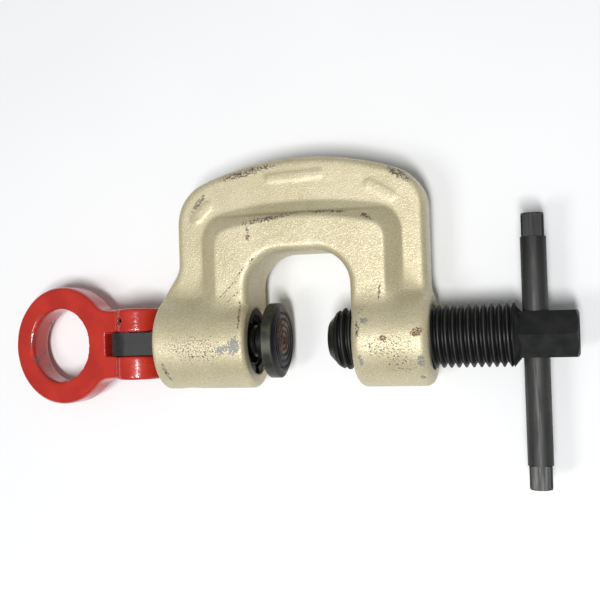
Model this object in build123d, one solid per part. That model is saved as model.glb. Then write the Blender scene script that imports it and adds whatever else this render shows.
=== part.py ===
from build123d import *
import os
from math import cos, radians, sin, sqrt, tan

# A screw cam clamp: a forged C frame, a clamping screw in the right boss, and in the left boss
# a swivel pad on a plunger that a cam lever pushes when the lifting eye is pulled.
# Millimetres. X runs along the clamping axis from the eye to the screw head, Y from the bosses
# to the back of the frame, Z is up when the clamp lies on its side. The origin is the centre
# of the swivel pad's gripping face.

# ---- Driving dimensions: frame ----
BOSS_R = 23.5
LEFT_BOSS = (-61.6, -13.5)
RIGHT_BOSS = (38.5, 75.0)
LEFT_BOSS_EDGE = (1.5, 2.5)
RIGHT_BOSS_EDGE = 4.5
ARM_LEFT_X = -52.5
ARM_RIGHT_X = 73.5
BACK_CREST = (12.4, 89.5)
BACK_RADIUS = 138.0
BACK_CORNER_R = (22.0, 20.0)
HEEL_Y = (22.5, 36.0)
HEEL_R = 12.0
THROAT_X = (-13.5, 37.5)
THROAT_TOP = 43.0
THROAT_CORNER_R = (17.0, 17.0)
WEB_HALF = 9.5
WEB_EDGE_R = 3.5
FLANGE_HALF = 16.5
FLANGE_TOP_X = (-30.0, 54.8)
FLANGE_FOOT_X = (-38.5, 62.5)
FLANGE_TOP_Y = 59.9
FLANGE_FOOT_Y = 67.7
FLANGE_ARC_DROP = 6.0
FLANGE_CORNER_R = (8.0, 14.5)
THROAT_EDGE_R = 4.0
FLANGE_EDGE_R = 2.0
MARK_HEIGHT = 0.6
# centre, length, width and angle of each plain raised mark on the web
MARKS = (((-38.5, 65.0), 13.0, 4.2, 42.0), ((10.0, 80.0), 28.0, 3.6, 2.0), ((52.5, 70.5), 16.0, 4.2, -32.0))

# ---- Driving dimensions: cam end ----
CAM_PIN_X = -49.0
CAM_PIN_R = 5.0
CAM_PIN_Y = (-21.0, 17.0)
CAM_PIN_LOCK_R = 1.5
CAM_PIN_LOCK_Y = -14.5
PIN_CHAMFER = 0.7
LOCK_SINK = 0.8
ROLL_PIN_SLIT_HALF = 0.2
LEVER_HALF = 5.8
LEVER_ARM_HALF = 9.5
LEVER_SWING = 25.0
LEVER_SLOT_HALF = (6.3, 18.6)
LEVER_SLOT_END = -36.0
CAM_BASE_R = 12.0
CAM_RISE = 4.0
CAM_CLEARANCE = 0.3
CAM_LOBE_MARGIN = (2.0, 3.0)
CAM_LOBE_STEPS = 8
CAM_UNDERSIDE = (-50.0, -70.0)
CAM_REAR_ANGLE = 127.0
LEVER_END_R = 11.5
LEVER_END_SHIFT = 3.0
LEVER_END_CROWN_R = 14.0

# ---- Driving dimensions: lifting eye ----
EYE_PIN_X = -79.0
EYE_TILT = 10.5
EYE_REACH = 47.5
EYE_OUTER_R = 31.5
EYE_HOLE_R = 19.5
EYE_HALF = 7.0
EYE_EDGE_R = 2.5
EAR_R = 12.0
EAR_HALF_Y = 18.3
EAR_EDGE_R = 1.2
FORK_SLOT_HALF = 6.1
FORK_SLOT_DEPTH = 17.2
NECK_R = 10.0
EYE_PIN_R = 5.5
EYE_PIN_HALF = 17.9
EYE_LOCK_R = 1.7
EYE_LOCK_AT = (-4.6, 12.0)
EYE_LOCK_SINK = 2.5
PIN_FIT = 0.05

# ---- Driving dimensions: plunger, spring and pad ----
BORE_R = 16.4
BORE_END = -39.0
PLUNGER_R = 16.3
PLUNGER_THICK = 5.0
PLUNGER_CHAMFER = 0.8
STEM_R = 8.0
STEM_END = -13.6
BALL_X = -8.0
BALL_R = 5.6
BALL_NECK_R = 3.2
BALL_FIT = 0.1
PAD_R = 18.6
PAD_BACK = -6.7
PAD_RIM = -1.7
PAD_CONE_R = 15.4
PAD_COLLAR_R = 9.0
PAD_COLLAR_END = -12.2
PAD_EDGE = 0.5
RIDGE_PITCH = 3.0
RIDGE_DEPTH = 1.3
RIDGE_FLAT = 0.5
PAD_RING_X = -11.3
PAD_RING_R = 5.35
PAD_RING_WIRE_R = 0.6
RING_FIT = 0.1
RING_GAP_HALF = 1.0
CIRCLIP = (-16.0, -14.6)
CIRCLIP_R = (13.1, 17.3)
CIRCLIP_GAP_HALF = 3.0
CIRCLIP_GROOVE_R = 17.4
SPRING_SEAT_X = (-17.2, -16.0)
SPRING_SEAT_R = (11.0, 16.2)
SPRING_WIRE_R = 1.3
SPRING_MEAN_R = 13.8
SPRING_TURNS = 3.0
SPRING_END_GAP = 0.2

# ---- Driving dimensions: screw, tip and handle ----
THREAD_R = 15.0
THREAD_PITCH = 3.5
THREAD_CREST_AT_TOP = 77.4
THREAD_FOOT_SHARE = 0.47
THREAD_CREST_SHARE = 1 / 16
THREAD_DEPTH_SHARE = 0.6134
THREAD_SINK = 0.4
SCREW_START = 28.2
THREAD_END = 112.8
SCREW_NOSE_R = 13.2
SCREW_NOSE_SLOPE = 0.5
SCREW_BORE_FIT = 0.2
SCREW_BORE_CHAMFER = 1.0
CAP_PROUD = 0.1
HEX_FLATS = 21.4
HEX_START = 115.4
HEX_END = 141.2
HEX_CHAMFER = 1.6
TIP_FACE_X = 24.5
TIP_FACE_R = 8.8
TIP_RIM_R = 12.6
TIP_SPIGOT_R = 6.0
TIP_SPIGOT_END = 40.0
TIP_CHAMFER = 0.8
TIP_RING_X = 35.0
TIP_RING_R = 6.3
TIP_RING_WIRE_R = 0.7
HANDLE_X = 121.8
HANDLE_R = 5.9
HANDLE_HOLE_R = 6.2
HANDLE_Y = (-71.4, 56.0)
HANDLE_END_LENGTH = 11.0
HANDLE_END_HALF = 5.1
HANDLE_END_CORNER_R = 6.6
HANDLE_END_CHAMFER = 1.5

# ---- Values that follow from them ----
CAM_SLOPE = CAM_RISE / radians(LEVER_SWING)
PLUNGER_BACK = CAM_PIN_X + CAM_BASE_R + CAM_CLEARANCE
PLUNGER_FRONT = PLUNGER_BACK + PLUNGER_THICK
THREAD_DEPTH = THREAD_DEPTH_SHARE * THREAD_PITCH
CORE_R = THREAD_R - THREAD_DEPTH
BIG = 60.0
CLOSE = 0.01
STANDING = (Align.CENTER, Align.CENTER, Align.MIN)


def x_cylinder(radius, start, end, y=0.0, z=0.0):
    """A cylinder along X between two X positions."""
    return Pos(start, y, z) * Rot(0, 90, 0) * Cylinder(radius, end - start, align=STANDING)


def y_cylinder(radius, start, end, x=0.0, z=0.0):
    """A cylinder along Y between two Y positions."""
    return Pos(x, start, z) * Rot(-90, 0, 0) * Cylinder(radius, end - start, align=STANDING)


def block(x, y, z):
    """A box given by its (low, high) pair on each axis."""
    centre = [sum(pair) / 2 for pair in (x, y, z)]
    return Pos(*centre) * Box(x[1] - x[0], y[1] - y[0], z[1] - z[0])


def x_revolve(points):
    """A solid of revolution about X from its (x, radius) outline, which starts and ends on the axis."""
    outline = make_face(Polyline(*points, close=True))
    return revolve(outline, axis=Axis.X)


def x_torus(x, ring_radius, wire_radius):
    """A ring of round wire about the X axis."""
    return Pos(x, 0, 0) * Rot(0, 90, 0) * Torus(ring_radius, wire_radius)


def side_plate(face, half_width):
    """A face drawn in the XZ plane, made into a plate that is half_width thick on each side of Y = 0."""
    return extrude(Plane.XZ * face, amount=half_width, both=True)


def on_circle(radius, degrees):
    """The point at that angle on a circle about the origin."""
    return radius * cos(radians(degrees)), radius * sin(radians(degrees))


def nearest_corner(face, x, y):
    return face.vertices().sort_by_distance((x, y, 0))[0]


def on_levels(solid, level):
    """The solid's edges that lie at a height of level above or below Z = 0, beyond the clamping axis."""
    return [e for e in solid.edges() if abs(abs(e.center().Z) - level) < CLOSE and e.center().Y > 1]


# ---- Frame ----
def arch(left, right, top, crest_x, radius, corners, base=0.0):
    """A face bounded by two upright sides and an arc across the top, with rounded corners."""
    centre_y = top - radius
    left_y = centre_y + sqrt(radius ** 2 - (left - crest_x) ** 2)
    right_y = centre_y + sqrt(radius ** 2 - (right - crest_x) ** 2)
    edges = [
        Line((left, base), (left, left_y)),
        ThreePointArc((left, left_y), (crest_x, top), (right, right_y)),
        Line((right, right_y), (right, base)),
        Line((right, base), (left, base)),
    ]
    face = make_face(edges)
    face = fillet(nearest_corner(face, left, left_y), corners[0])
    return fillet(nearest_corner(face, right, right_y), corners[1])


def web_outline():
    """The outer outline of the C, with the heel that widens the left arm into its boss."""
    crest_x, crest_y = BACK_CREST
    face = arch(ARM_LEFT_X, ARM_RIGHT_X, crest_y, crest_x, BACK_RADIUS, BACK_CORNER_R)
    left = LEFT_BOSS[0]
    low, high = HEEL_Y
    heel = make_face(Polyline((left, 0), (left, low), (ARM_LEFT_X, high), (0, high), (0, 0), close=True))
    face = face + heel
    return fillet(nearest_corner(face, ARM_LEFT_X, high), HEEL_R)


def flange_outline(sides, top, corner):
    """The outline of the thick band round the throat at one level of its sloping side."""
    crest_x = BACK_CREST[0]
    half = (sides[1] - sides[0]) / 2
    radius = (half ** 2 + FLANGE_ARC_DROP ** 2) / (2 * FLANGE_ARC_DROP)
    return arch(sides[0], sides[1], top, crest_x, radius, (corner, corner))


def throat_outline():
    left, right = THROAT_X
    corners = [(left, -BIG), (left, THROAT_TOP), (right, THROAT_TOP), (right, -BIG)]
    face = make_face(Polyline(*corners, close=True))
    face = fillet(nearest_corner(face, left, THROAT_TOP), THROAT_CORNER_R[0])
    return fillet(nearest_corner(face, right, THROAT_TOP), THROAT_CORNER_R[1])


def mirrored_pair(solid):
    """A solid and its mirror image in the XY plane, as one solid."""
    return solid + mirror(solid, about=Plane.XY)


def frame_arms():
    """The C without its bosses: a flat web with a thicker band round the throat."""
    web = extrude(web_outline(), amount=WEB_HALF, both=True)
    web = fillet(on_levels(web, WEB_HALF), WEB_EDGE_R)
    foot = flange_outline(FLANGE_FOOT_X, FLANGE_FOOT_Y, FLANGE_CORNER_R[1])
    top = flange_outline(FLANGE_TOP_X, FLANGE_TOP_Y, FLANGE_CORNER_R[0])
    slope = loft([Pos(0, 0, WEB_HALF) * foot, Pos(0, 0, FLANGE_HALF) * top], ruled=True)
    core = extrude(foot, amount=WEB_HALF)
    half = slope + core
    arms = web + mirrored_pair(half)
    arms = arms - extrude(throat_outline(), amount=BIG, both=True)
    return arms


def soften_arms(arms):
    """Rounds the throat edges and the top edge of the band's slope."""
    edges = on_levels(arms, FLANGE_HALF)
    left, right = THROAT_X
    inner = [e for e in edges if left - 1 < e.center().X < right + 1 and e.center().Y < THROAT_TOP + 1]
    outer_centres = [e.center() for e in edges if e not in inner]
    arms = fillet(inner, THROAT_EDGE_R)
    outer = [
        e for e in on_levels(arms, FLANGE_HALF)
        if any((e.center() - centre).length < THROAT_EDGE_R / 4 for centre in outer_centres)
    ]
    return fillet(outer, FLANGE_EDGE_R)


def boss(span, edge_radii):
    """A round boss on the clamping axis, with each end's edge rounded by its own radius."""
    body = x_cylinder(BOSS_R, *span)
    for x, radius in zip(span, edge_radii):
        edge = body.edges().filter_by(GeomType.CIRCLE).sort_by_distance((x, 0, 0))[0]
        body = fillet(edge, radius)
    return body


def raised_marks():
    """Plain raised lozenges on both faces of the web."""
    marks = []
    for (x, y), length, width, angle in MARKS:
        face = Pos(x, y, WEB_HALF - MARK_HEIGHT) * Rot(0, 0, angle) * SlotOverall(length, width)
        marks.append(extrude(face, amount=2 * MARK_HEIGHT))
    return marks


def cam_side_cuts():
    """Everything machined into the left boss: bore, circlip groove, lever slot and pin holes."""
    left, right = LEFT_BOSS
    slot_y, slot_z = LEVER_SLOT_HALF
    bore = x_cylinder(BORE_R, BORE_END, right + 1)
    groove = x_cylinder(CIRCLIP_GROOVE_R, *CIRCLIP)
    slot = block((left - 1, LEVER_SLOT_END), (-slot_y, slot_y), (-slot_z, slot_z))
    pin_hole = y_cylinder(CAM_PIN_R, -BOSS_R - 1, CAM_PIN_Y[1], x=CAM_PIN_X)
    lock_end = CAM_PIN_X + CAM_PIN_LOCK_R
    lock_hole = x_cylinder(CAM_PIN_LOCK_R, left - 1, lock_end, y=CAM_PIN_LOCK_Y, z=CAM_PIN_R)
    return [bore, groove, slot, pin_hole, lock_hole]


def screw_hole():
    """The screw's bore through the right boss, with a chamfer at each mouth."""
    left, right = RIGHT_BOSS
    radius = THREAD_R + SCREW_BORE_FIT
    wide = radius + SCREW_BORE_CHAMFER
    return x_revolve([
        (left - 1, 0), (left - 1, wide + 1), (left + SCREW_BORE_CHAMFER, radius),
        (right - SCREW_BORE_CHAMFER, radius), (right + 1, wide + 1), (right + 1, 0),
    ])


def frame_body():
    frame = soften_arms(frame_arms())
    frame = frame + boss(LEFT_BOSS, LEFT_BOSS_EDGE) + boss(RIGHT_BOSS, (RIGHT_BOSS_EDGE, RIGHT_BOSS_EDGE))
    marks = raised_marks()
    frame = frame + marks + [mirror(mark, about=Plane.XY) for mark in marks]
    return frame - cam_side_cuts() - screw_hole()


# ---- Fixed pieces of the cam end ----
def cam_pin():
    """The cam's pivot pin, with the notch that its roll pin sits in and a chamfer at each end."""
    start, end = CAM_PIN_Y
    pin = y_cylinder(CAM_PIN_R, start, end, x=CAM_PIN_X)
    pin = chamfer(pin.edges().filter_by(GeomType.CIRCLE), PIN_CHAMFER)
    notch = x_cylinder(CAM_PIN_LOCK_R, CAM_PIN_X - BIG, CAM_PIN_X + BIG, y=CAM_PIN_LOCK_Y, z=CAM_PIN_R)
    return pin - notch


def cam_pin_roll_pin():
    """A slit spring pin along X that locks the cam pin."""
    start, end = LEFT_BOSS[0] + LOCK_SINK, CAM_PIN_X + CAM_PIN_LOCK_R
    tube = x_cylinder(CAM_PIN_LOCK_R, start, end, y=CAM_PIN_LOCK_Y, z=CAM_PIN_R)
    core = x_cylinder(CAM_PIN_LOCK_R / 2, start, end, y=CAM_PIN_LOCK_Y, z=CAM_PIN_R)
    sides = (CAM_PIN_LOCK_Y - ROLL_PIN_SLIT_HALF, CAM_PIN_LOCK_Y + ROLL_PIN_SLIT_HALF)
    slit = block((start, end), sides, (CAM_PIN_R, CAM_PIN_R + 2 * CAM_PIN_LOCK_R))
    return tube - core - slit


def bore_circlip():
    """The internal circlip at the mouth of the plunger's bore, with its gap at the bottom."""
    start, end = CIRCLIP
    inner, outer = CIRCLIP_R
    ring = x_cylinder(outer, start, end) - x_cylinder(inner, start, end)
    gap = block((start, end), (-BIG, 0), (-CIRCLIP_GAP_HALF, CIRCLIP_GAP_HALF))
    return ring - gap


def spring_seat_washer():
    start, end = SPRING_SEAT_X
    inner, outer = SPRING_SEAT_R
    return x_cylinder(outer, start, end) - x_cylinder(inner, start, end)


# ---- Cam lever ----
def cam_outline():
    """The cam hub in the XZ plane, about the cam pin: an involute lobe whose reach towards the
    plunger grows evenly with the lever's angle, closed by circular flanks."""
    before, after = CAM_LOBE_MARGIN
    swing = radians(before + LEVER_SWING + after)
    lobe = []
    for i in range(CAM_LOBE_STEPS + 1):
        angle = swing * i / CAM_LOBE_STEPS - radians(before)
        reach = CAM_BASE_R + CAM_SLOPE * angle
        across, up = cos(angle), sin(angle)
        lobe.append((reach * across - CAM_SLOPE * up, reach * up + CAM_SLOPE * across))
    below, lower = [on_circle(CAM_BASE_R, angle) for angle in CAM_UNDERSIDE]
    bottom = (0, -CAM_BASE_R)
    rear = on_circle(CAM_BASE_R, CAM_REAR_ANGLE)
    return make_face([
        Spline(*lobe),
        Line(lobe[-1], rear),
        ThreePointArc(rear, (-CAM_BASE_R, 0), bottom),
        ThreePointArc(bottom, lower, below),
        Line(below, lobe[0]),
    ])


def cam_lever():
    """A flat bar with the cam at one end and a rounded eye for the lifting eye's pin at the other."""
    end_x = EYE_PIN_X - LEVER_END_SHIFT
    outline = Pos(end_x, 0) * Circle(LEVER_END_R)
    arm = [
        (end_x, -LEVER_END_R), (CAM_PIN_X, -LEVER_ARM_HALF),
        (CAM_PIN_X, LEVER_ARM_HALF), (end_x, LEVER_END_R),
    ]
    outline += make_face(Polyline(*arm, close=True))
    outline += Pos(CAM_PIN_X, 0) * cam_outline()
    lever = side_plate(outline, LEVER_HALF)
    crown_x = end_x - LEVER_END_R + LEVER_END_CROWN_R
    crown = Pos(crown_x, 0, 0) * Cylinder(LEVER_END_CROWN_R, BIG)
    lever = lever & (crown + block((crown_x, 0), (-BIG, BIG), (-BIG, BIG)))
    bores = y_cylinder(CAM_PIN_R + PIN_FIT, -BIG, BIG, x=CAM_PIN_X)
    bores += y_cylinder(EYE_PIN_R + PIN_FIT, -BIG, BIG, x=EYE_PIN_X)
    return lever - bores


# ---- Lifting eye, drawn level with its pin at the origin, then tilted into place ----
def in_eye_place(solid):
    return Pos(EYE_PIN_X, 0, 0) * Rot(0, -EYE_TILT, 0) * solid


def eye_outline():
    """The ring and its neck in plan, with the hole left out."""
    ring = Pos(-EYE_REACH, 0) * Circle(EYE_OUTER_R)
    neck = make_face(Polyline(
        (-EYE_REACH, -EAR_HALF_Y), (0, -EAR_HALF_Y), (0, EAR_HALF_Y), (-EYE_REACH, EAR_HALF_Y), close=True))
    outline = ring + neck
    corners = [v for v in outline.vertices() if -EYE_REACH < v.X < -1]
    return fillet(corners, NECK_R)


def lifting_eye():
    plate = extrude(eye_outline(), amount=EYE_HALF, both=True)
    faces = [e for e in plate.edges() if abs(abs(e.center().Z) - EYE_HALF) < CLOSE]
    rim = [e for e in faces if e.center().X < -EYE_PIN_R]
    plate = fillet(rim, EYE_EDGE_R)
    plate = plate - Pos(-EYE_REACH, 0, 0) * Cylinder(EYE_HOLE_R, BIG)
    ears = y_cylinder(EAR_R, -EAR_HALF_Y, EAR_HALF_Y)
    ears = fillet(ears.edges().filter_by(GeomType.CIRCLE), EAR_EDGE_R)
    eye = plate + ears
    eye = eye - block((-FORK_SLOT_DEPTH, BIG), (-FORK_SLOT_HALF, FORK_SLOT_HALF), (-BIG, BIG))
    eye = eye - y_cylinder(EYE_PIN_R, -BIG, BIG)
    lock_x, lock_y = EYE_LOCK_AT
    eye = eye - Pos(lock_x, lock_y, 0) * Cylinder(EYE_LOCK_R, BIG)
    return in_eye_place(eye)


def eye_pin():
    pin = y_cylinder(EYE_PIN_R, -EYE_PIN_HALF, EYE_PIN_HALF)
    pin = chamfer(pin.edges().filter_by(GeomType.CIRCLE), PIN_CHAMFER)
    lock_x, lock_y = EYE_LOCK_AT
    return in_eye_place(pin - Pos(lock_x, lock_y, 0) * Cylinder(EYE_LOCK_R, BIG))


def eye_roll_pin():
    """A slit spring pin across one ear, through the edge of the eye's pin."""
    lock_x, lock_y = EYE_LOCK_AT
    half = EAR_R - EYE_LOCK_SINK
    tube = Cylinder(EYE_LOCK_R, 2 * half) - Cylinder(EYE_LOCK_R / 2, 2 * half)
    slit = block((-2 * EYE_LOCK_R, 0), (-ROLL_PIN_SLIT_HALF, ROLL_PIN_SLIT_HALF), (-half, half))
    return in_eye_place(Pos(lock_x, lock_y, 0) * (tube - slit))


# ---- Plunger, spring and pad ----
def thrust_plunger():
    """The piston in the left bore: the cam bears on its back and the pad swivels on its ball."""
    neck_start = BALL_X - sqrt(BALL_R ** 2 - BALL_NECK_R ** 2)
    body = x_revolve([
        (PLUNGER_BACK, 0), (PLUNGER_BACK, PLUNGER_R - PLUNGER_CHAMFER),
        (PLUNGER_BACK + PLUNGER_CHAMFER, PLUNGER_R),
        (PLUNGER_FRONT, PLUNGER_R), (PLUNGER_FRONT, STEM_R), (STEM_END - PLUNGER_CHAMFER, STEM_R),
        (STEM_END, STEM_R - PLUNGER_CHAMFER), (STEM_END, BALL_NECK_R), (neck_start + 1, BALL_NECK_R),
        (neck_start + 1, 0),
    ])
    return body + Pos(BALL_X, 0, 0) * Sphere(BALL_R)


def return_spring():
    """A round-wire compression spring between the plunger's flange and the washer."""
    start = PLUNGER_FRONT + SPRING_WIRE_R + SPRING_END_GAP
    end = SPRING_SEAT_X[0] - SPRING_WIRE_R - SPRING_END_GAP
    path = Helix(pitch=(end - start) / SPRING_TURNS, height=end - start, radius=SPRING_MEAN_R)
    section = Plane(origin=path @ 0, z_dir=path % 0) * Circle(SPRING_WIRE_R)
    coil = sweep(section, path=path, is_frenet=True)
    return Pos(start, 0, 0) * Rot(0, 90, 0) * coil


def ridged_face(crest_x, root_x, outer_r):
    """The (x, radius) points of a face with concentric flat-topped ridges, from its rim to the axis."""
    points = []
    crest = outer_r
    while crest > RIDGE_PITCH:
        root = crest - (RIDGE_PITCH + RIDGE_FLAT) / 2
        points += [(crest_x, crest), (crest_x, crest - RIDGE_FLAT), (root_x, root)]
        crest -= RIDGE_PITCH
    return points + [(crest_x, crest), (crest_x, 0)]


def swivel_pad():
    """A round pad with concentric gripping ridges, a conical edge and a ball socket in its back."""
    body = x_revolve([
        (PAD_COLLAR_END, 0), (PAD_COLLAR_END, PAD_COLLAR_R), (PAD_BACK, PAD_COLLAR_R),
        (PAD_BACK, PAD_R - PAD_EDGE), (PAD_BACK + PAD_EDGE, PAD_R), (PAD_RIM, PAD_R),
    ] + ridged_face(0, -RIDGE_DEPTH, PAD_CONE_R))
    socket = Pos(BALL_X, 0, 0) * Sphere(BALL_R + BALL_FIT)
    socket += x_cylinder(BALL_R + BALL_FIT, PAD_COLLAR_END - 1, BALL_X)
    groove = x_torus(PAD_RING_X, PAD_RING_R + RING_FIT, PAD_RING_WIRE_R + RING_FIT)
    return body - socket - groove


def split_ring(x, ring_radius, wire_radius):
    """An open ring of round wire about the clamping axis."""
    gap = block((x - wire_radius, x + wire_radius), (-BIG, 0), (-RING_GAP_HALF, RING_GAP_HALF))
    return x_torus(x, ring_radius, wire_radius) - gap


# ---- Clamping screw, its tip and the handle ----
def thread_ridge():
    """The helical ridge of a right-handed thread, longer than the threaded length at each end."""
    turns = int((THREAD_END - SCREW_START) / THREAD_PITCH) + 4
    path = Helix(pitch=THREAD_PITCH, height=turns * THREAD_PITCH, radius=CORE_R)
    foot_half = THREAD_FOOT_SHARE * THREAD_PITCH
    crest_half = THREAD_CREST_SHARE * THREAD_PITCH
    foot_r = CORE_R - THREAD_SINK
    corners = [(foot_r, -foot_half), (foot_r, foot_half), (THREAD_R, crest_half), (THREAD_R, -crest_half)]
    outline = Polyline(*corners, close=True)
    ridge = sweep(Plane.XZ * make_face(outline), path=path, is_frenet=True)
    crests_before = int((THREAD_CREST_AT_TOP - SCREW_START) / THREAD_PITCH + 2)
    first_crest = THREAD_CREST_AT_TOP - crests_before * THREAD_PITCH
    return Pos(first_crest, 0, 0) * Rot(90, 0, 0) * Rot(0, 90, 0) * ridge


def clamp_screw():
    """The right-handed clamping screw with its hexagon head, handle hole and blind bore for the tip."""
    core = x_cylinder(CORE_R, SCREW_START - 2 * THREAD_PITCH, THREAD_END + 2 * THREAD_PITCH)
    screw = core + thread_ridge()
    screw = screw - block((SCREW_START - BIG, SCREW_START), (-BIG, BIG), (-BIG, BIG))
    screw = screw - block((THREAD_END, THREAD_END + BIG), (-BIG, BIG), (-BIG, BIG))
    rise = THREAD_R + 1 - SCREW_NOSE_R
    lead = rise / SCREW_NOSE_SLOPE
    kept_nose = x_revolve([
        (SCREW_START, 0), (SCREW_START, SCREW_NOSE_R), (SCREW_START + lead, SCREW_NOSE_R + rise),
        (SCREW_START + lead, 0),
    ])
    screw = screw - (x_cylinder(BIG, SCREW_START, SCREW_START + lead) - kept_nose)
    screw = screw + x_revolve([
        (THREAD_END - 1, 0), (THREAD_END - 1, THREAD_R + CAP_PROUD),
        (HEX_START, HEX_FLATS / 2), (HEX_START, 0),
    ])
    hexagon = Plane.YZ * RegularPolygon(HEX_FLATS / 2, 6, major_radius=False, rotation=30)
    head_start = HEX_START - 1
    head = Pos(head_start, 0, 0) * extrude(hexagon, amount=HEX_END - head_start)
    corner_r = HEX_FLATS / sqrt(3)
    chamfer_drop = HEX_CHAMFER * tan(radians(60))
    head = head & x_revolve([
        (head_start - 1, 0), (head_start - 1, corner_r + 1), (HEX_END - HEX_CHAMFER, corner_r + 1),
        (HEX_END - HEX_CHAMFER, corner_r), (HEX_END, corner_r - chamfer_drop), (HEX_END, 0),
    ])
    screw = screw + head
    screw = screw - y_cylinder(HANDLE_HOLE_R, -BIG, BIG, x=HANDLE_X)
    screw = screw - x_cylinder(TIP_SPIGOT_R + PIN_FIT, SCREW_START - 1, TIP_SPIGOT_END + 1)
    return screw - x_torus(TIP_RING_X, TIP_RING_R, TIP_RING_WIRE_R + RING_FIT)


def screw_tip():
    """The hardened tip that swivels in the screw's nose, with a ridged face and a grooved spigot."""
    rim_x = SCREW_START - BALL_FIT
    tip = x_revolve(ridged_face(TIP_FACE_X, TIP_FACE_X + RIDGE_DEPTH, TIP_FACE_R)[::-1] + [
        (rim_x, TIP_RIM_R), (rim_x, TIP_SPIGOT_R),
        (TIP_SPIGOT_END - TIP_CHAMFER, TIP_SPIGOT_R), (TIP_SPIGOT_END, TIP_SPIGOT_R - TIP_CHAMFER),
        (TIP_SPIGOT_END, 0),
    ])
    return tip - x_torus(TIP_RING_X, TIP_RING_R, TIP_RING_WIRE_R)


def handle_bar():
    """The sliding tommy bar, pressed square at both ends so that it can't fall out of the head."""
    start, end = HANDLE_Y
    bar = y_cylinder(HANDLE_R, start + HANDLE_END_LENGTH, end - HANDLE_END_LENGTH, x=HANDLE_X)
    side = (HANDLE_X - HANDLE_END_HALF, HANDLE_X + HANDLE_END_HALF)
    for low, high in ((start, start + HANDLE_END_LENGTH), (end - HANDLE_END_LENGTH, end)):
        round_end = y_cylinder(HANDLE_END_CORNER_R, low, high, x=HANDLE_X)
        tip_y = low if low == start else high
        tip_edge = round_end.edges().filter_by(GeomType.CIRCLE).sort_by_distance((HANDLE_X, tip_y, 0))[0]
        round_end = chamfer(tip_edge, HANDLE_END_CHAMFER)
        bar = bar + (round_end & block(side, (low, high), (-HANDLE_END_HALF, HANDLE_END_HALF)))
    return bar


NODES = {
    "frame_body": frame_body,
    "cam_pin": cam_pin,
    "cam_pin_roll_pin": cam_pin_roll_pin,
    "bore_circlip": bore_circlip,
    "spring_seat_washer": spring_seat_washer,
    "cam_lever": cam_lever,
    "lifting_eye": lifting_eye,
    "eye_pin": eye_pin,
    "eye_roll_pin": eye_roll_pin,
    "thrust_plunger": thrust_plunger,
    "return_spring": return_spring,
    "swivel_pad": swivel_pad,
    "pad_retaining_ring": lambda: split_ring(PAD_RING_X, PAD_RING_R, PAD_RING_WIRE_R),
    "screw_tip": screw_tip,
    "tip_retaining_ring": lambda: split_ring(TIP_RING_X, TIP_RING_R, TIP_RING_WIRE_R),
    "clamp_screw": clamp_screw,
    "handle_bar": handle_bar,
}

os.makedirs("parts", exist_ok=True)
for name, make in NODES.items():
    export_step(make(), f"parts/{name}.step")
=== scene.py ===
import math

import bmesh
import bpy
import numpy as np
from mathutils import Matrix, Vector, noise


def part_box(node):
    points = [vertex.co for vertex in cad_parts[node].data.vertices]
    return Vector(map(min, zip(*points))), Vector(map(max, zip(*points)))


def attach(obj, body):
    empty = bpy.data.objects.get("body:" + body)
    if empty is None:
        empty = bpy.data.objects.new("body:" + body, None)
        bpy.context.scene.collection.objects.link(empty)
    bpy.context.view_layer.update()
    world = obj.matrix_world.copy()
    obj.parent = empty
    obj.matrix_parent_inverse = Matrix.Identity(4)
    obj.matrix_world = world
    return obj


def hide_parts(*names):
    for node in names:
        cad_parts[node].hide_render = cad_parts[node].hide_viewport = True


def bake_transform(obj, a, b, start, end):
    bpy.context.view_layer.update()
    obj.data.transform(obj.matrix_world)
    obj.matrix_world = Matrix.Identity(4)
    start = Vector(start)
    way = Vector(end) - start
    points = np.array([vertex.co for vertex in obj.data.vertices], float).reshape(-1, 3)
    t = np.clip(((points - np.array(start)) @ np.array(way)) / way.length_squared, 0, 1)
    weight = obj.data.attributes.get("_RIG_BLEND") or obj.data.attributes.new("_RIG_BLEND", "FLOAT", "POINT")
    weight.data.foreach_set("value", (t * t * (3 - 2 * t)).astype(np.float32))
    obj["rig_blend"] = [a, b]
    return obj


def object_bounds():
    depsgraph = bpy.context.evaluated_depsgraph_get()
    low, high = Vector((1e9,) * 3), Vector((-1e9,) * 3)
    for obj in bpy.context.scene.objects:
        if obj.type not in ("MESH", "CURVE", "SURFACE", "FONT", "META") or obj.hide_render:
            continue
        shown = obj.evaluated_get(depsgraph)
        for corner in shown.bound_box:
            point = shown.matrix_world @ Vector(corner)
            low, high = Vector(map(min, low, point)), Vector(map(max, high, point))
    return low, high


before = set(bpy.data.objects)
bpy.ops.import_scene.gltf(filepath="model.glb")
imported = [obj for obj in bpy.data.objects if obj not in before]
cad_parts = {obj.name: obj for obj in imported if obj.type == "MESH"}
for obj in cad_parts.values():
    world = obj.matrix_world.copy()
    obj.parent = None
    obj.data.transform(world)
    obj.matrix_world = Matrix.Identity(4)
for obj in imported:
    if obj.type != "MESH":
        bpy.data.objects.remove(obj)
CAD_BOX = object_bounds()

MM = 0.001
FLOOR_GAP = 0.2 * MM

# ---- Places on the clamp, from the frame ----
EYE_PIN_LOW, EYE_PIN_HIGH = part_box("eye_pin")
EYE_PIN_X = (EYE_PIN_LOW.x + EYE_PIN_HIGH.x) / 2
WASHER_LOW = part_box("spring_seat_washer")[0]
PAD_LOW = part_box("swivel_pad")[0]
SCREW_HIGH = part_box("clamp_screw")[1]

# ---- Frame casting ----
CASTING_VOXEL = 0.65 * MM
BOSS_R = 23.5 * MM
BORE_R = 17.0 * MM
WEB_HALF = 9.5 * MM
WEB_FOOT_Y = 61 * MM
MARK_LOWERED = 0.45
FIRST_RELAX = 2
CREASE_ROUNDS = 4
JUNCTION_WIDTH = 5.5 * MM
JUNCTION_ROUNDS = 130

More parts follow.
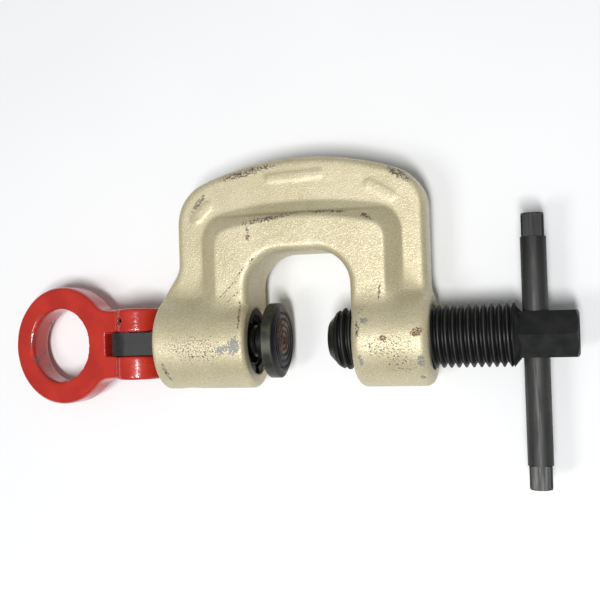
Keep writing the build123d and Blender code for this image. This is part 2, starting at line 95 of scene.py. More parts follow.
# ---- Lifting eye ----
EYE_VOXEL = 0.55 * MM
EYE_TILT = math.radians(10.5)
EYE_REACH = 47.5 * MM
EYE_HOLE_R = 19.5 * MM

# ---- Return spring ----
SPRING_MEAN_R = 13.8 * MM
SPRING_WIRE_R = 1.25 * MM
SPRING_TURNS = 4.0
SPRING_LENGTH = 13.9 * MM
SPRING_CLOSED_TURNS = 0.6
SPRING_STEPS = 48
SPRING_AROUND = 12

# ---- Camera and lights, in metres ----
CAMERA_PLACE = (137.6 * MM, 8.9 * MM, 444.3 * MM)
CAMERA_LOOK = (-0.2785, 0.0233, -0.9601)
CAMERA_UP = (0.0355, 0.9993, 0.0140)
CAMERA_LENS_MM = 55.97
SENSOR_MM = 36.0
FLOOR_SIZE = 6.0
LIT_MIDDLE = (0.02, 0.02, 0)
# name, place, size and watts of each ceiling light
LIGHTS = (
    ("key", (0.16, -0.28, 1.25), (0.16, 0.42), 13.0),
    ("second", (-0.38, -0.34, 1.20), (0.14, 0.40), 3.2),
)
SURROUND_STRENGTH = (0.05, 0.40)


# ---- Mesh tools ----
def coordinates(mesh):
    """The mesh's vertices as an array of points."""
    flat = np.empty(len(mesh.vertices) * 3)
    mesh.vertices.foreach_get("co", flat)
    return flat.reshape(-1, 3)


def set_coordinates(mesh, points):
    mesh.vertices.foreach_set("co", points.ravel())
    mesh.update()


def vertex_normals(mesh):
    flat = np.empty(len(mesh.vertices) * 3)
    mesh.vertices.foreach_get("normal", flat)
    return flat.reshape(-1, 3)


def edge_ends(mesh):
    flat = np.empty(len(mesh.edges) * 2, dtype=np.int64)
    mesh.edges.foreach_get("vertices", flat)
    return flat[0::2], flat[1::2]


def neighbour_mean(values, ends):
    """The mean of each vertex's neighbours, for values of any width."""
    first, second = ends
    count = len(values)
    degree = np.maximum(np.bincount(first, minlength=count) + np.bincount(second, minlength=count), 1)
    columns = values.reshape(count, -1).T
    sums = [
        np.bincount(first, weights=column[second], minlength=count)
        + np.bincount(second, weights=column[first], minlength=count)
        for column in columns
    ]
    return (np.array(sums) / degree).T.reshape(values.shape)


def relax(points, ends, amount, rounds):
    """Moves each point towards its neighbours' mean by its own amount."""
    for _ in range(rounds):
        points = points + amount[:, None] * (neighbour_mean(points, ends) - points)
    return points


def fill_creases(mesh, points, ends, amount, rounds):
    """Moves points outwards only, so that inside corners fill into fillets and outside shapes stay."""
    for i in range(rounds):
        if i % 8 == 0:
            set_coordinates(mesh, points)
            normals = vertex_normals(mesh)
        step = np.einsum("ij,ij->i", neighbour_mean(points, ends) - points, normals)
        points = points + (amount * np.maximum(step, 0))[:, None] * normals
    return points


def smoothstep(low, high, values):
    t = np.clip((values - low) / (high - low), 0, 1)
    return t * t * (3 - 2 * t)


def set_attribute(mesh, name, values):
    attribute = mesh.attributes.new(name, "FLOAT", "POINT")
    attribute.data.foreach_set("value", values.astype(np.float32))


def noise_field(points, size, seed):
    """Smooth noise from about -1 to 1, with features of the given size."""
    shift = Vector((seed, 2 * seed, -seed))
    return np.array([noise.noise(Vector(p) / size + shift) for p in points])


def remeshed(node, name, voxel):
    """A new object with an even, fine mesh of a CAD node's shape."""
    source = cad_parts[node]
    mesh = source.data.copy()
    work = bmesh.new()
    work.from_mesh(mesh)
    bmesh.ops.remove_doubles(work, verts=work.verts, dist=0.001 * MM)
    work.to_mesh(mesh)
    work.free()
    raw = bpy.data.objects.new(name + "_raw", mesh)
    bpy.context.scene.collection.objects.link(raw)
    remesh = raw.modifiers.new("remesh", "REMESH")
    remesh.mode = "VOXEL"
    remesh.voxel_size = voxel
    remesh.adaptivity = 0.0
    bpy.context.view_layer.update()
    evaluated = raw.evaluated_get(bpy.context.evaluated_depsgraph_get())
    fine = bpy.data.meshes.new_from_object(evaluated)
    fine.name = name
    fine.materials.clear()
    for attribute in [a.name for a in fine.attributes if a.name == "custom_normal"]:
        fine.attributes.remove(fine.attributes[attribute])
    bpy.data.objects.remove(raw)
    piece = bpy.data.objects.new(name, fine)
    bpy.context.scene.collection.objects.link(piece)
    fine.polygons.foreach_set("use_smooth", [True] * len(fine.polygons))
    return piece


def stand_in(piece, node, body):
    """The piece takes a CAD node's place and body."""
    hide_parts(node)
    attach(piece, body)


def convexity(points, normals, ends, voxel, rounds):
    """How sharply the surface bulges at each vertex: positive on outside edges, negative in creases."""
    bulge = np.einsum("ij,ij->i", points - neighbour_mean(points, ends), normals) / voxel
    for _ in range(rounds):
        bulge = neighbour_mean(bulge, ends)
    return bulge


# ---- Material tools ----
class Shader:
    """A principled material with short calls for the nodes that feed it."""

    def __init__(self, name, colour, roughness, metallic=0.0, specular=0.5, coat=0.0, coat_roughness=0.1):
        self.material = bpy.data.materials.new(name)
        self.material.use_nodes = True
        self.nodes = self.material.node_tree.nodes
        self.links = self.material.node_tree.links
        self.bsdf = self.nodes["Principled BSDF"]
        self.set("Base Color", (*colour, 1))
        self.set("Roughness", roughness)
        self.set("Metallic", metallic)
        self.set("Specular IOR Level", specular)
        self.set("Coat Weight", coat)
        self.set("Coat Roughness", coat_roughness)
        self.place = self.nodes.new("ShaderNodeTexCoord").outputs["Object"]

    def set(self, socket, value):
        self.bsdf.inputs[socket].default_value = value

    def feed(self, socket, output):
        self.links.new(output, self.bsdf.inputs[socket])

    def stretched(self, scale):
        """The object's own coordinates, scaled per axis, for streaks."""
        node = self.nodes.new("ShaderNodeMapping")
        node.inputs["Scale"].default_value = scale
        self.links.new(self.place, node.inputs["Vector"])
        return node.outputs["Vector"]

    def noise(self, size, detail=2.0, place=None, rough=0.5):
        """Noise from 0 to 1 with features of about the given size in metres."""
        node = self.nodes.new("ShaderNodeTexNoise")
        node.inputs["Scale"].default_value = 1 / size
        node.inputs["Detail"].default_value = detail
        node.inputs["Roughness"].default_value = rough
        self.links.new(place or self.place, node.inputs["Vector"])
        return node.outputs["Fac"]

    def attribute(self, name):
        node = self.nodes.new("ShaderNodeAttribute")
        node.attribute_name = name
        return node.outputs["Fac"]

    def ramp(self, value, low, high, start=0.0, end=1.0):
        """The value mapped from low..high to start..end, smoothly and with its ends held."""
        node = self.nodes.new("ShaderNodeMapRange")
        node.interpolation_type = "SMOOTHSTEP"
        for socket, number in zip(("From Min", "From Max", "To Min", "To Max"), (low, high, start, end)):
            node.inputs[socket].default_value = number
        self.links.new(value, node.inputs["Value"])
        return node.outputs["Result"]

    def math(self, operation, first, second):
        node = self.nodes.new("ShaderNodeMath")
        node.operation = operation
        for socket, value in zip(node.inputs, (first, second)):
            if isinstance(value, (int, float)):
                socket.default_value = value
            else:
                self.links.new(value, socket)
        return node.outputs[0]

    def mix(self, share, first, second, blend="MIX"):
        """Two colours mixed by a share, each a tuple or another node's output."""
        node = self.nodes.new("ShaderNodeMix")
        node.data_type = "RGBA"
        node.blend_type = blend
        if isinstance(share, (int, float)):
            node.inputs[0].default_value = share
        else:
            self.links.new(share, node.inputs[0])
        for socket, value in ((node.inputs[6], first), (node.inputs[7], second)):
            if isinstance(value, tuple):
                socket.default_value = (*value, 1)
            else:
                self.links.new(value, socket)
        return node.outputs[2]

    def ragged(self, name, grain, spread, low=0.50, high=0.66):
        """Where a named attribute, torn up by a grain, is above a level."""
        torn = self.math("MULTIPLY", self.math("SUBTRACT", grain, 0.5), spread)
        return self.ramp(self.math("ADD", self.attribute(name), torn), low, high)

    def bump(self, height, distance, strength=1.0, normal=None):
        node = self.nodes.new("ShaderNodeBump")
        node.inputs["Strength"].default_value = strength
        node.inputs["Distance"].default_value = distance
        self.links.new(height, node.inputs["Height"])
        if normal is not None:
            self.links.new(normal, node.inputs["Normal"])
        return node.outputs["Normal"]

    def distance_from_axis(self):
        """The distance from the clamping axis, in metres."""
        split = self.nodes.new("ShaderNodeSeparateXYZ")
        self.links.new(self.place, split.inputs[0])
        squares = [self.math("MULTIPLY", split.outputs[k], split.outputs[k]) for k in ("Y", "Z")]
        return self.math("SQRT", self.math("ADD", *squares), 0.0)

    def along(self, axis):
        split = self.nodes.new("ShaderNodeSeparateXYZ")
        self.links.new(self.place, split.inputs[0])
        return split.outputs[axis]


# ---- Materials ----
def gold_paint():
    """Champagne hammered paint on a casting, chipped to dark metal on its edges, with painted shade in its
    creases and painted shade and glints in its grain.
    """
    s = Shader("gold_paint", (0.6, 0.53, 0.36), 0.42, metallic=0.35, coat=0.18, coat_roughness=0.3)
    sand = s.noise(0.6 * MM, 4, rough=0.6)
    peel = s.noise(1.2 * MM, 2)
    cloud = s.noise(22 * MM, 2)
    tone = s.mix(s.ramp(cloud, 0.3, 0.7), (0.545, 0.480, 0.296), (0.62, 0.55, 0.362))
    # painted shade and glints: the grain is darkened where its bump sinks and lightened to a glint where it
    # rises
    tone = s.mix(s.ramp(sand, 0.30, 0.5, 0.38, 0.0), tone, (0.30, 0.25, 0.15))
    tone = s.mix(s.ramp(sand, 0.52, 0.68, 0.0, 0.55), tone, (0.90, 0.84, 0.65))
    # painted shade: the paint is darkened in the casting's creases
    painted_crease_shade = s.ramp(s.attribute("painted_crease_shade"), 0.0, 1.0, 0.0, 0.55)
    tone = s.mix(painted_crease_shade, tone, (0.28, 0.24, 0.15))
    pit = s.ramp(s.noise(0.45 * MM, 3, rough=0.7), 0.36, 0.42, 0.35, 0.0)
    tone = s.mix(pit, tone, (0.20, 0.165, 0.10))
    flake = s.noise(0.9 * MM, 5, rough=0.7)
    chipped = s.ragged("worn", flake, 2.2)
    metal = s.mix(s.ramp(s.noise(2.2 * MM, 3), 0.35, 0.65), (0.09, 0.065, 0.05), (0.25, 0.21, 0.17))
    tone = s.mix(chipped, tone, metal)
    bared = s.ragged("bare", flake, 2.4)
    tone = s.mix(bared, tone, (0.27, 0.27, 0.265))
    rusted = s.ragged("rust", flake, 2.2)
    tone = s.mix(rusted, tone, (0.19, 0.105, 0.045))
    s.feed("Base Color", tone)
    lost = s.math("MAXIMUM", s.math("MAXIMUM", chipped, bared), rusted)
    s.feed("Roughness", s.math("ADD", s.ramp(sand, 0.3, 0.7, 0.52, 0.36), s.math("MULTIPLY", lost, 0.15)))
    rough = s.bump(sand, 0.17 * MM, 0.9)
    rough = s.bump(peel, 0.07 * MM, 0.7, rough)
    s.feed("Normal", s.bump(s.math("SUBTRACT", 1.0, lost), 0.08 * MM, 0.8, rough))
    return s.material


def red_paint():
    """Thick gloss red enamel, worn dark where a shackle has run in the ring."""
    s = Shader("red_paint", (0.50, 0.02, 0.014), 0.24, specular=0.4, coat=0.5, coat_roughness=0.07)
    cloud = s.noise(14 * MM, 2)
    tone = s.mix(s.ramp(cloud, 0.3, 0.7), (0.42, 0.021, 0.012), (0.51, 0.027, 0.015))
    fleck = s.noise(1.3 * MM, 4, rough=0.65)
    chipped = s.ragged("worn", fleck, 1.5, 0.48, 0.62)
    metal = s.mix(s.ramp(s.noise(2.5 * MM, 3), 0.35, 0.65), (0.035, 0.03, 0.028), (0.14, 0.115, 0.10))
    dulled = s.ramp(s.attribute("worn"), 0.1, 0.6, 0.0, 0.5)
    tone = s.mix(dulled, tone, (0.30, 0.035, 0.03))
    s.feed("Base Color", s.mix(chipped, tone, metal))
    s.feed("Roughness", s.math("ADD", s.ramp(cloud, 0.3, 0.7, 0.16, 0.28), s.math("MULTIPLY", chipped, 0.35)))
    wave = s.bump(s.noise(1.9 * MM, 3), 0.16 * MM, 0.9)
    s.feed("Normal", s.bump(s.noise(0.7 * MM, 2), 0.05 * MM, 0.8, wave))
    return s.material


def blackened_steel(name, dark, light, roughness, worn=(0.16, 0.155, 0.14), wear=0.0, metallic=0.75):
    """Oiled black oxide on machined steel, with a dry brownish cast and rubbed spots."""
    s = Shader(name, dark, roughness, metallic=metallic, specular=0.5)
    cloud = s.noise(6 * MM, 4)
    grain = s.noise(0.5 * MM, 2)
    tone = s.mix(s.ramp(cloud, 0.35, 0.65), dark, light)
    spread = s.noise(2.4 * MM, 5, rough=0.7)
    rubbed = s.ramp(spread, 0.60 - 0.2 * wear, 0.74 - 0.2 * wear, 0.0, 0.25 + 0.5 * wear)
    tone = s.mix(rubbed, tone, worn)
    s.feed("Base Color", tone)
    s.feed("Roughness", s.ramp(cloud, 0.3, 0.7, roughness - 0.08, roughness + 0.1))
    s.feed("Normal", s.bump(grain, 0.03 * MM, 0.6, s.bump(cloud, 0.08 * MM, 0.4)))
    return s.material


def handle_steel():
    """Cold-drawn bar with a worn black finish: long rubbed streaks and brown blotches, and painted shade
    towards its +Y end.
    """
    s = Shader("handle_steel", (0.05, 0.052, 0.05), 0.5, metallic=0.45)
    streak = s.noise(1.2 * MM, 4, s.stretched((1.0, 0.06, 1.0)), rough=0.6)
    blotch = s.noise(9 * MM, 4)
    tone = s.mix(s.ramp(streak, 0.3, 0.75), (0.034, 0.036, 0.035), (0.060, 0.061, 0.058))
    tone = s.mix(s.ramp(blotch, 0.45, 0.75, 0.0, 0.4), tone, (0.070, 0.060, 0.048))
    # painted shade: the bar is darkened towards its +Y end, away from the lights
    tone = s.mix(s.ramp(s.along("Y"), 10 * MM, 50 * MM, 0.0, 0.75), tone, (0.012, 0.013, 0.012))
    fleck = s.ramp(s.noise(1.1 * MM, 5, rough=0.75), 0.66, 0.74, 0.0, 0.4)
    tone = s.mix(fleck, tone, (0.16, 0.16, 0.15))
    s.feed("Base Color", tone)
    s.feed("Roughness", s.ramp(streak, 0.3, 0.7, 0.62, 0.46))
    s.feed("Normal", s.bump(s.noise(0.7 * MM, 3), 0.05 * MM, 0.6, s.bump(streak, 0.05 * MM, 0.5)))
    return s.material


def lever_steel():
    """A plain forged bar, flat dark grey."""
    s = Shader("lever_steel", (0.075, 0.077, 0.077), 0.55, metallic=0.5)
    cloud = s.noise(5 * MM, 4)
    s.feed("Base Color", s.mix(s.ramp(cloud, 0.3, 0.7), (0.026, 0.028, 0.028), (0.045, 0.045, 0.044)))
    s.feed("Roughness", s.ramp(cloud, 0.3, 0.7, 0.48, 0.64))
    s.feed("Normal", s.bump(s.noise(0.8 * MM, 3), 0.06 * MM, 0.6))
    return s.material


def pad_steel():
    """The pad: olive-black rim, and ridges that have rusted towards their middle, with painted shade in its
    grooves and on its end inside the bore.
    """
    s = Shader("pad_steel", (0.06, 0.062, 0.05), 0.45, metallic=0.6)
    blotch = s.noise(5 * MM, 4)
    rim = s.mix(s.ramp(blotch, 0.4, 0.65), (0.045, 0.048, 0.042), (0.085, 0.085, 0.058))
    radius = s.math("ADD", s.distance_from_axis(), s.math("MULTIPLY", s.math("SUBTRACT", blotch, 0.5), 9 * MM))
    upward = s.math("SUBTRACT", radius, s.math("MULTIPLY", s.along("Y"), 0.28))
    rusty = s.ramp(upward, 12.5 * MM, 6.5 * MM)
    in_front = s.ramp(s.along("X"), -1.6 * MM, -1.25 * MM)
    ridge = s.mix(s.ramp(s.noise(0.9 * MM, 3), 0.35, 0.65), (0.085, 0.045, 0.028), (0.20, 0.12, 0.08))
    dark = s.mix(s.ramp(blotch, 0.4, 0.7), (0.018, 0.022, 0.028), (0.05, 0.055, 0.06))
    face = s.mix(rusty, dark, ridge)
    # painted shade: the face is darkened in the grooves between its ridges
    valley_shade = s.ramp(s.along("X"), -0.15 * MM, -0.95 * MM, 0.0, 0.8)
    face = s.mix(valley_shade, face, (0.015, 0.013, 0.012))
    chips = s.ramp(s.noise(0.9 * MM, 3, rough=0.7), 0.70, 0.76, 0.0, 0.7)
    rim = s.mix(chips, rim, (0.55, 0.55, 0.50))
    # painted shade: the pad's end behind its collar, inside the bore, is painted near black
    collar_shade = s.ramp(s.along("X"), PAD_LOW.x + 5.4 * MM, PAD_LOW.x + 5.2 * MM)
    rim = s.mix(collar_shade, rim, (0.012, 0.012, 0.012))
    s.feed("Base Color", s.mix(in_front, rim, face))
    s.feed("Roughness", s.ramp(blotch, 0.3, 0.7, 0.36, 0.58))
    s.feed("Normal", s.bump(s.noise(0.6 * MM, 3), 0.05 * MM, 0.7))
    return s.material


def spring_steel():
    s = Shader("spring_steel", (0.16, 0.165, 0.17), 0.3, metallic=0.9)
    oil = s.noise(3 * MM, 4)
    s.feed("Base Color", s.mix(s.ramp(oil, 0.35, 0.65), (0.07, 0.07, 0.072), (0.24, 0.245, 0.25)))
    s.feed("Roughness", s.ramp(oil, 0.3, 0.7, 0.24, 0.42))
    s.feed("Normal", s.bump(s.noise(0.5 * MM, 2), 0.02 * MM, 0.5))
    return s.material


def thread_steel():
    """The screw: black oxide, with painted shade in the thread's roots and painted highlights on its crests.
    """
    s = Shader("thread_steel", (0.02, 0.022, 0.021), 0.48, metallic=0.3, specular=0.3)
    radius = s.distance_from_axis()
    cloud = s.noise(7 * MM, 4)
    tone = s.mix(s.ramp(cloud, 0.25, 0.75), (0.013, 0.015, 0.014), (0.023, 0.024, 0.022))
    on_thread = s.ramp(s.along("X"), SCREW_HIGH.x - 28 * MM, SCREW_HIGH.x - 29.5 * MM)
    # painted shade: the thread is darkened towards black in its roots
    root_shade = s.math("MULTIPLY", on_thread, s.ramp(radius, 14.2 * MM, 13.2 * MM, 0.0, 0.85))
    tone = s.mix(root_shade, tone, (0.006, 0.006, 0.006))
    # painted highlight: the thread's crests are lightened
    crest_highlight = s.math("MULTIPLY", on_thread, s.ramp(radius, 14.6 * MM, 14.9 * MM, 0.0, 0.25))
    tone = s.mix(crest_highlight, tone, (0.11, 0.11, 0.10))
    s.feed("Base Color", tone)
    s.feed("Roughness", s.ramp(cloud, 0.3, 0.7, 0.42, 0.58))
    s.feed("Normal", s.bump(s.noise(0.7 * MM, 3), 0.04 * MM, 0.6))
    return s.material


def floor_paper():
    """A pale matt sheet, faintly uneven."""
    s = Shader("floor_paper", (0.86, 0.865, 0.87), 0.75, specular=0.2)
    cloud = s.noise(120 * MM, 3)
    s.feed("Base Color", s.mix(s.ramp(cloud, 0.3, 0.7), (0.855, 0.862, 0.868), (0.875, 0.878, 0.88)))
    s.feed("Roughness", s.ramp(cloud, 0.3, 0.7, 0.7, 0.8))
    return s.material


# ---- Frame casting ----
# Places where the paint has gone, in millimetres on the upper face: centre, half-lengths, turn in degrees
CHIPPED = (
    ((-14.0, 83.5), (17.0, 2.2), 11.0), ((-40.0, 70.0), (7.0, 1.6), 48.0), ((61.5, 77.5), (8.5, 2.4), -33.0),
    ((0.0, 59.6), (19.0, 1.5), 9.0), ((28.0, 61.2), (11.0, 1.1), -3.0), ((46.3, 57.5), (4.5, 1.4), -24.0),
    ((-12.0, 53.5), (1.1, 3.6), 20.0), ((-16.6, 13.0), (0.9, 8.5), 4.0), ((42.2, 5.0), (1.3, 5.5), 2.0),
    ((-56.0, -14.0), (1.3, 6.0), 14.0), ((52.0, 22.0), (0.8, 5.0), -8.0), ((71.0, -18.5), (1.6, 1.2), 0.0),
)
SCRATCHED = (
    ((-23.0, 26.0), (11.0, 0.55), 42.0), ((-20.5, 22.0), (7.0, 0.5), 40.0), ((-25.0, 22.5), (5.0, 0.45), 44.0),
    ((-17.0, 33.5), (6.0, 0.6), 47.0), ((-11.5, 38.5), (4.5, 0.7), 50.0), ((44.5, 14.5), (5.5, 0.4), 50.0),
    ((-30.0, -4.5), (14.0, 0.6), -6.0), ((-36.0, -6.5), (9.0, 0.5), -3.0),
)
BARED = (
    ((-18.6, -1.8), (3.6, 5.0), -20.0), ((-24.5, -3.4), (4.2, 2.0), 12.0), ((45.4, 8.6), (2.4, 1.7), -10.0),
    ((43.2, -9.5), (1.3, 3.0), 6.0), ((71.3, -10.5), (2.0, 3.2), 0.0),
)
RUSTED = (
    ((54.5, 0.2), (2.6, 1.5), -10.0), ((70.0, 2.8), (3.4, 2.2), 28.0), ((46.0, 58.6), (2.6, 0.9), -20.0),
    ((-12.3, 50.8), (1.2, 1.6), 0.0),
)
PECKED = (
    ((-38.0, -3.0), (20.0, 8.5), -4.0), ((57.0, -4.0), (16.0, 7.0), 0.0), ((62.0, -12.0), (9.0, 5.0), 0.0),
)


def spots(points, places, soft=0.55):
    """1 inside the turned ellipses, fading to 0 outside them, on the upper side only."""
    best = np.zeros(len(points))
    for (x, y), (long_half, short_half), turn in places:
        angle = math.radians(turn)
        dx = points[:, 0] / MM - x
        dy = points[:, 1] / MM - y
        u = (dx * math.cos(angle) + dy * math.sin(angle)) / long_half
        v = (dy * math.cos(angle) - dx * math.sin(angle)) / short_half
        best = np.maximum(best, 1 - smoothstep(1 - soft, 1 + soft, np.hypot(u, v)))
    return best * smoothstep(3 * MM, 6 * MM, points[:, 2])


def casting_shape(mesh, points, ends):
    """Lowers the marks, fills the creases and lets the arms flow into the bosses."""
    on_web = smoothstep(WEB_FOOT_Y, WEB_FOOT_Y + 1.5 * MM, points[:, 1])
    proud = np.maximum(np.abs(points[:, 2]) - WEB_HALF, 0.0)
    points[:, 2] -= np.sign(points[:, 2]) * MARK_LOWERED * proud * on_web
    radius = np.hypot(points[:, 1], points[:, 2])
    cast = smoothstep(BORE_R, BORE_R + 2.5 * MM, radius)
    points = relax(points, ends, np.full(len(points), 0.5), FIRST_RELAX)
    above_web = smoothstep(WEB_HALF + 0.3 * MM, WEB_HALF + 0.9 * MM, np.abs(points[:, 2]))
    creased = np.minimum(above_web + 0.2 * smoothstep(0.5, 0.9, cast), 1)
    points = fill_creases(mesh, points, ends, 0.5 * cast * creased, CREASE_ROUNDS)
    junction = np.exp(-((radius - BOSS_R - 1 * MM) / JUNCTION_WIDTH) ** 2)
    junction = junction * smoothstep(9 * MM, 15 * MM, points[:, 1])
    points = fill_creases(mesh, points, ends, 0.9 * junction, JUNCTION_ROUNDS)
    return relax(points, ends, 0.5 * junction, 4), cast


def casting_wear(mesh, points, bulge, cast):
    """The attributes that the gold paint reads: where it is worn, bare and rusted, and where shade is painted
    into creases.
    """
    edge_wear = smoothstep(0.05, 0.16, bulge) * cast
    patchy = smoothstep(0.05, 0.45, noise_field(points, 16 * MM, 11.0))
    worn = 0.42 * edge_wear * patchy
    for share, places in ((0.62, CHIPPED), (0.56, SCRATCHED), (0.42, PECKED)):
        worn = np.maximum(worn, share * spots(points, places))
    set_attribute(mesh, "worn", worn)
    set_attribute(mesh, "bare", 0.72 * spots(points, BARED))
    set_attribute(mesh, "rust", 0.70 * spots(points, RUSTED))
    # painted shade: how deep each vertex lies in a crease, darkened by the gold paint
    set_attribute(mesh, "painted_crease_shade", smoothstep(0.01, 0.10, -bulge) * cast)


def frame_casting():
    """The C frame as a casting: soft creases, arms that flow into the bosses, wear along its edges."""
    piece = remeshed("frame_body", "frame_casting", CASTING_VOXEL)
    mesh = piece.data
    ends = edge_ends(mesh)
    points, cast = casting_shape(mesh, coordinates(mesh), ends)
    set_coordinates(mesh, points)
    normals = vertex_normals(mesh)
    wave = noise_field(points, 9 * MM, 3.0) * 0.09 * MM + noise_field(points, 2.6 * MM, 7.0) * 0.04 * MM
    bulge = convexity(points, normals, ends, CASTING_VOXEL, 6)
    set_coordinates(mesh, points + normals * (np.minimum(wave, 0.0) * cast)[:, None])
    casting_wear(mesh, points, bulge, cast)
    mesh.materials.append(gold_paint())
    stand_in(piece, "frame_body", "frame")


# ---- Lifting eye ----
def lifting_eye():
    """The forged ring and fork: a soft saddle worn at its far side, soft outer edges and thick enamel."""
    piece = remeshed("lifting_eye", "lifting_eye_forging", EYE_VOXEL)
    mesh = piece.data
    points = coordinates(mesh)
    ends = edge_ends(mesh)
    level = Matrix.Rotation(EYE_TILT, 3, "Y")
    flat = (points - np.array([EYE_PIN_X, 0, 0])) @ np.array(level).T
    from_hole = np.hypot(flat[:, 0] + EYE_REACH, flat[:, 1])
    angle = np.arctan2(flat[:, 1], -(flat[:, 0] + EYE_REACH))
    at_hole = np.exp(-((from_hole - EYE_HOLE_R) / (3.5 * MM)) ** 2)
    far_side = 1 - smoothstep(math.radians(60), math.radians(115), np.abs(angle))
    points = relax(points, ends, np.full(len(points), 0.5), 5)
    points = relax(points, ends, 0.55 * at_hole * far_side, 60)
    neck = np.exp(-((flat[:, 0] + 14.5 * MM) / (4.0 * MM)) ** 2)
    neck = neck * smoothstep(6.5 * MM, 8.5 * MM, np.abs(flat[:, 1]))
    points = relax(points, ends, 0.5 * neck, 50)
    set_coordinates(mesh, points)
    normals = vertex_normals(mesh)
    wave = noise_field(points, 8 * MM, 5.0) * 0.08 * MM
    set_coordinates(mesh, points + normals * np.minimum(wave, 0.0)[:, None])
    bulge = convexity(points, normals, ends, EYE_VOXEL, 5)
    patchy = smoothstep(-0.1, 0.4, noise_field(points, 7 * MM, 17.0))
    saddle = np.exp(-((from_hole - EYE_HOLE_R) / (3.0 * MM)) ** 2) * far_side
    worn = 0.50 * saddle * (0.55 + 0.45 * patchy)
    worn = np.maximum(worn, 0.30 * smoothstep(0.06, 0.2, bulge) * patchy)
    in_hole = smoothstep(EYE_HOLE_R + 0.8 * MM, EYE_HOLE_R - 0.2 * MM, from_hole)
    worn = np.maximum(worn, 0.10 * in_hole)
    set_attribute(mesh, "worn", worn)
    mesh.materials.append(red_paint())
    stand_in(piece, "lifting_eye", "lifting_eye")


# ---- Return spring ----
def return_spring(material):
    """The coil between the plunger's flange and the washer, with its end turns closed."""
    start = WASHER_LOW.x - SPRING_LENGTH + SPRING_WIRE_R
    end = WASHER_LOW.x - SPRING_WIRE_R
    steps = int(SPRING_TURNS * SPRING_STEPS)
    around = SPRING_AROUND
    work = bmesh.new()
    rings = []
    for i in range(steps + 1):
        share = i / steps
        angle = 2 * math.pi * SPRING_TURNS * share
        climbed = (share * SPRING_TURNS - SPRING_CLOSED_TURNS) / (SPRING_TURNS - 2 * SPRING_CLOSED_TURNS)
        pushed = min(max(climbed, 0), 1)
        x = start + (end - start) * pushed
        outward = Vector((0, math.cos(angle), math.sin(angle)))
        centre = Vector((x, 0, 0)) + outward * SPRING_MEAN_R
        ring = []
        for j in range(around):
            turn = 2 * math.pi * j / around
            offset = outward * math.cos(turn) + Vector((1, 0, 0)) * math.sin(turn)
            ring.append(work.verts.new(centre + offset * SPRING_WIRE_R))
        rings.append(ring)
    for first, second in zip(rings, rings[1:]):
        for j in range(around):
            work.faces.new((first[j], first[(j + 1) % around], second[(j + 1) % around], second[j]))
    work.faces.new(rings[0][::-1])
    work.faces.new(rings[-1])
    bmesh.ops.recalc_face_normals(work, faces=work.faces)
    mesh = bpy.data.meshes.new("spring_coil")
    work.to_mesh(mesh)
    work.free()
    mesh.polygons.foreach_set("use_smooth", [True] * len(mesh.polygons))
    mesh.materials.append(material)
    coil = bpy.data.objects.new("spring_coil", mesh)
    bpy.context.scene.collection.objects.link(coil)
    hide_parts("return_spring")
    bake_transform(coil, "thrust_plunger", "frame", start=(start, 0, 0), end=(end, 0, 0))


# ---- CAD nodes that keep their shape ----
def dress(nodes, material):
    for name in nodes:
        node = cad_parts[name]
        node.data.materials.clear()
        node.data.materials.append(material)


def dress_nodes():
    black = blackened_steel("black_oxide", (0.024, 0.026, 0.025), (0.05, 0.05, 0.046), 0.42)
    pin = blackened_steel("pin_steel", (0.07, 0.07, 0.068), (0.13, 0.13, 0.125), 0.45, wear=0.4)
    nose = blackened_steel("tip_steel", (0.032, 0.03, 0.022), (0.075, 0.066, 0.05), 0.45)
    spring = spring_steel()
    dress(["cam_pin", "eye_pin"], pin)
    dress(["cam_pin_roll_pin", "eye_roll_pin", "pad_retaining_ring", "tip_retaining_ring"], spring)
    dress(["bore_circlip", "spring_seat_washer", "thrust_plunger"], black)
    dress(["cam_lever"], lever_steel())
    dress(["swivel_pad"], pad_steel())
    dress(["screw_tip"], nose)
    dress(["clamp_screw"], thread_steel())
    dress(["handle_bar"], handle_steel())
    return_spring(spring)


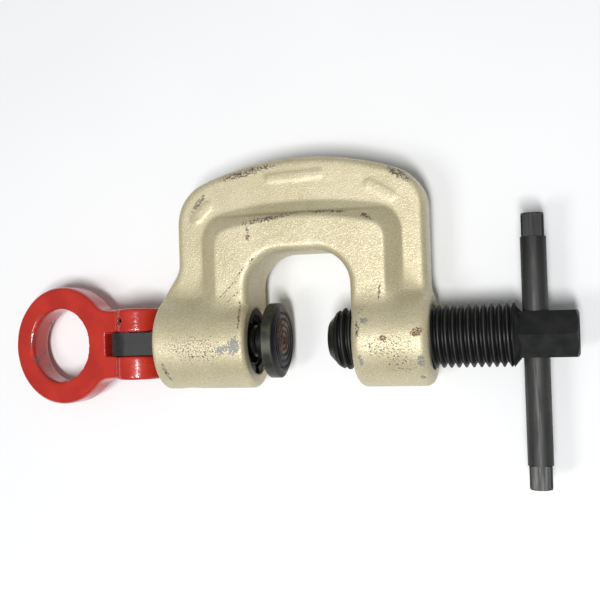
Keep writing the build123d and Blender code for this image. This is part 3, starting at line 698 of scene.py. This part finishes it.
# ---- Camera, floor and light ----
def make_camera():
    """A camera above the clamp, a little to the right of its jaw, looking down and to the left."""
    data = bpy.data.cameras.new("camera")
    data.sensor_width = SENSOR_MM
    data.lens = CAMERA_LENS_MM
    camera = bpy.data.objects.new("camera", data)
    place = Vector(CAMERA_PLACE)
    look = Vector(CAMERA_LOOK).normalized()
    up = Vector(CAMERA_UP)
    side = look.cross(up).normalized()
    up = side.cross(look)
    camera.matrix_world = Matrix.Translation(place) @ Matrix((side, up, -look)).transposed().to_4x4()
    bpy.context.scene.collection.objects.link(camera)
    bpy.context.scene.camera = camera


def make_floor():
    bpy.ops.mesh.primitive_plane_add(size=FLOOR_SIZE, location=(0, 0, CAD_BOX[0].z - FLOOR_GAP))
    floor = bpy.context.object
    floor.name = "floor"
    floor.data.materials.append(floor_paper())


def area_light(name, place, size, power):
    """A rectangular light aimed at the middle of the clamp."""
    data = bpy.data.lights.new(name, "AREA")
    data.shape = "RECTANGLE"
    data.size, data.size_y = size
    data.energy = power
    light = bpy.data.objects.new(name, data)
    light.location = place
    light.rotation_euler = (Vector(LIT_MIDDLE) - Vector(place)).to_track_quat("-Z", "Y").to_euler()
    bpy.context.scene.collection.objects.link(light)


def make_light():
    """Two soft ceiling lights on the side of the bosses, and an even pale surround."""
    for light in LIGHTS:
        area_light(*light)
    world = bpy.data.worlds.new("surround")
    world.use_nodes = True
    tree = world.node_tree
    background = tree.nodes["Background"]
    direction = tree.nodes.new("ShaderNodeTexCoord")
    split = tree.nodes.new("ShaderNodeSeparateXYZ")
    height = tree.nodes.new("ShaderNodeMapRange")
    height.inputs["To Min"].default_value, height.inputs["To Max"].default_value = SURROUND_STRENGTH
    tree.links.new(direction.outputs["Generated"], split.inputs[0])
    tree.links.new(split.outputs["Z"], height.inputs["Value"])
    tree.links.new(height.outputs["Result"], background.inputs["Strength"])
    background.inputs["Color"].default_value = (0.96, 0.98, 1.0, 1)
    bpy.context.scene.world = world
    bpy.context.scene.view_settings.view_transform = "Standard"


frame_casting()
lifting_eye()
dress_nodes()
make_camera()
make_floor()
make_light()
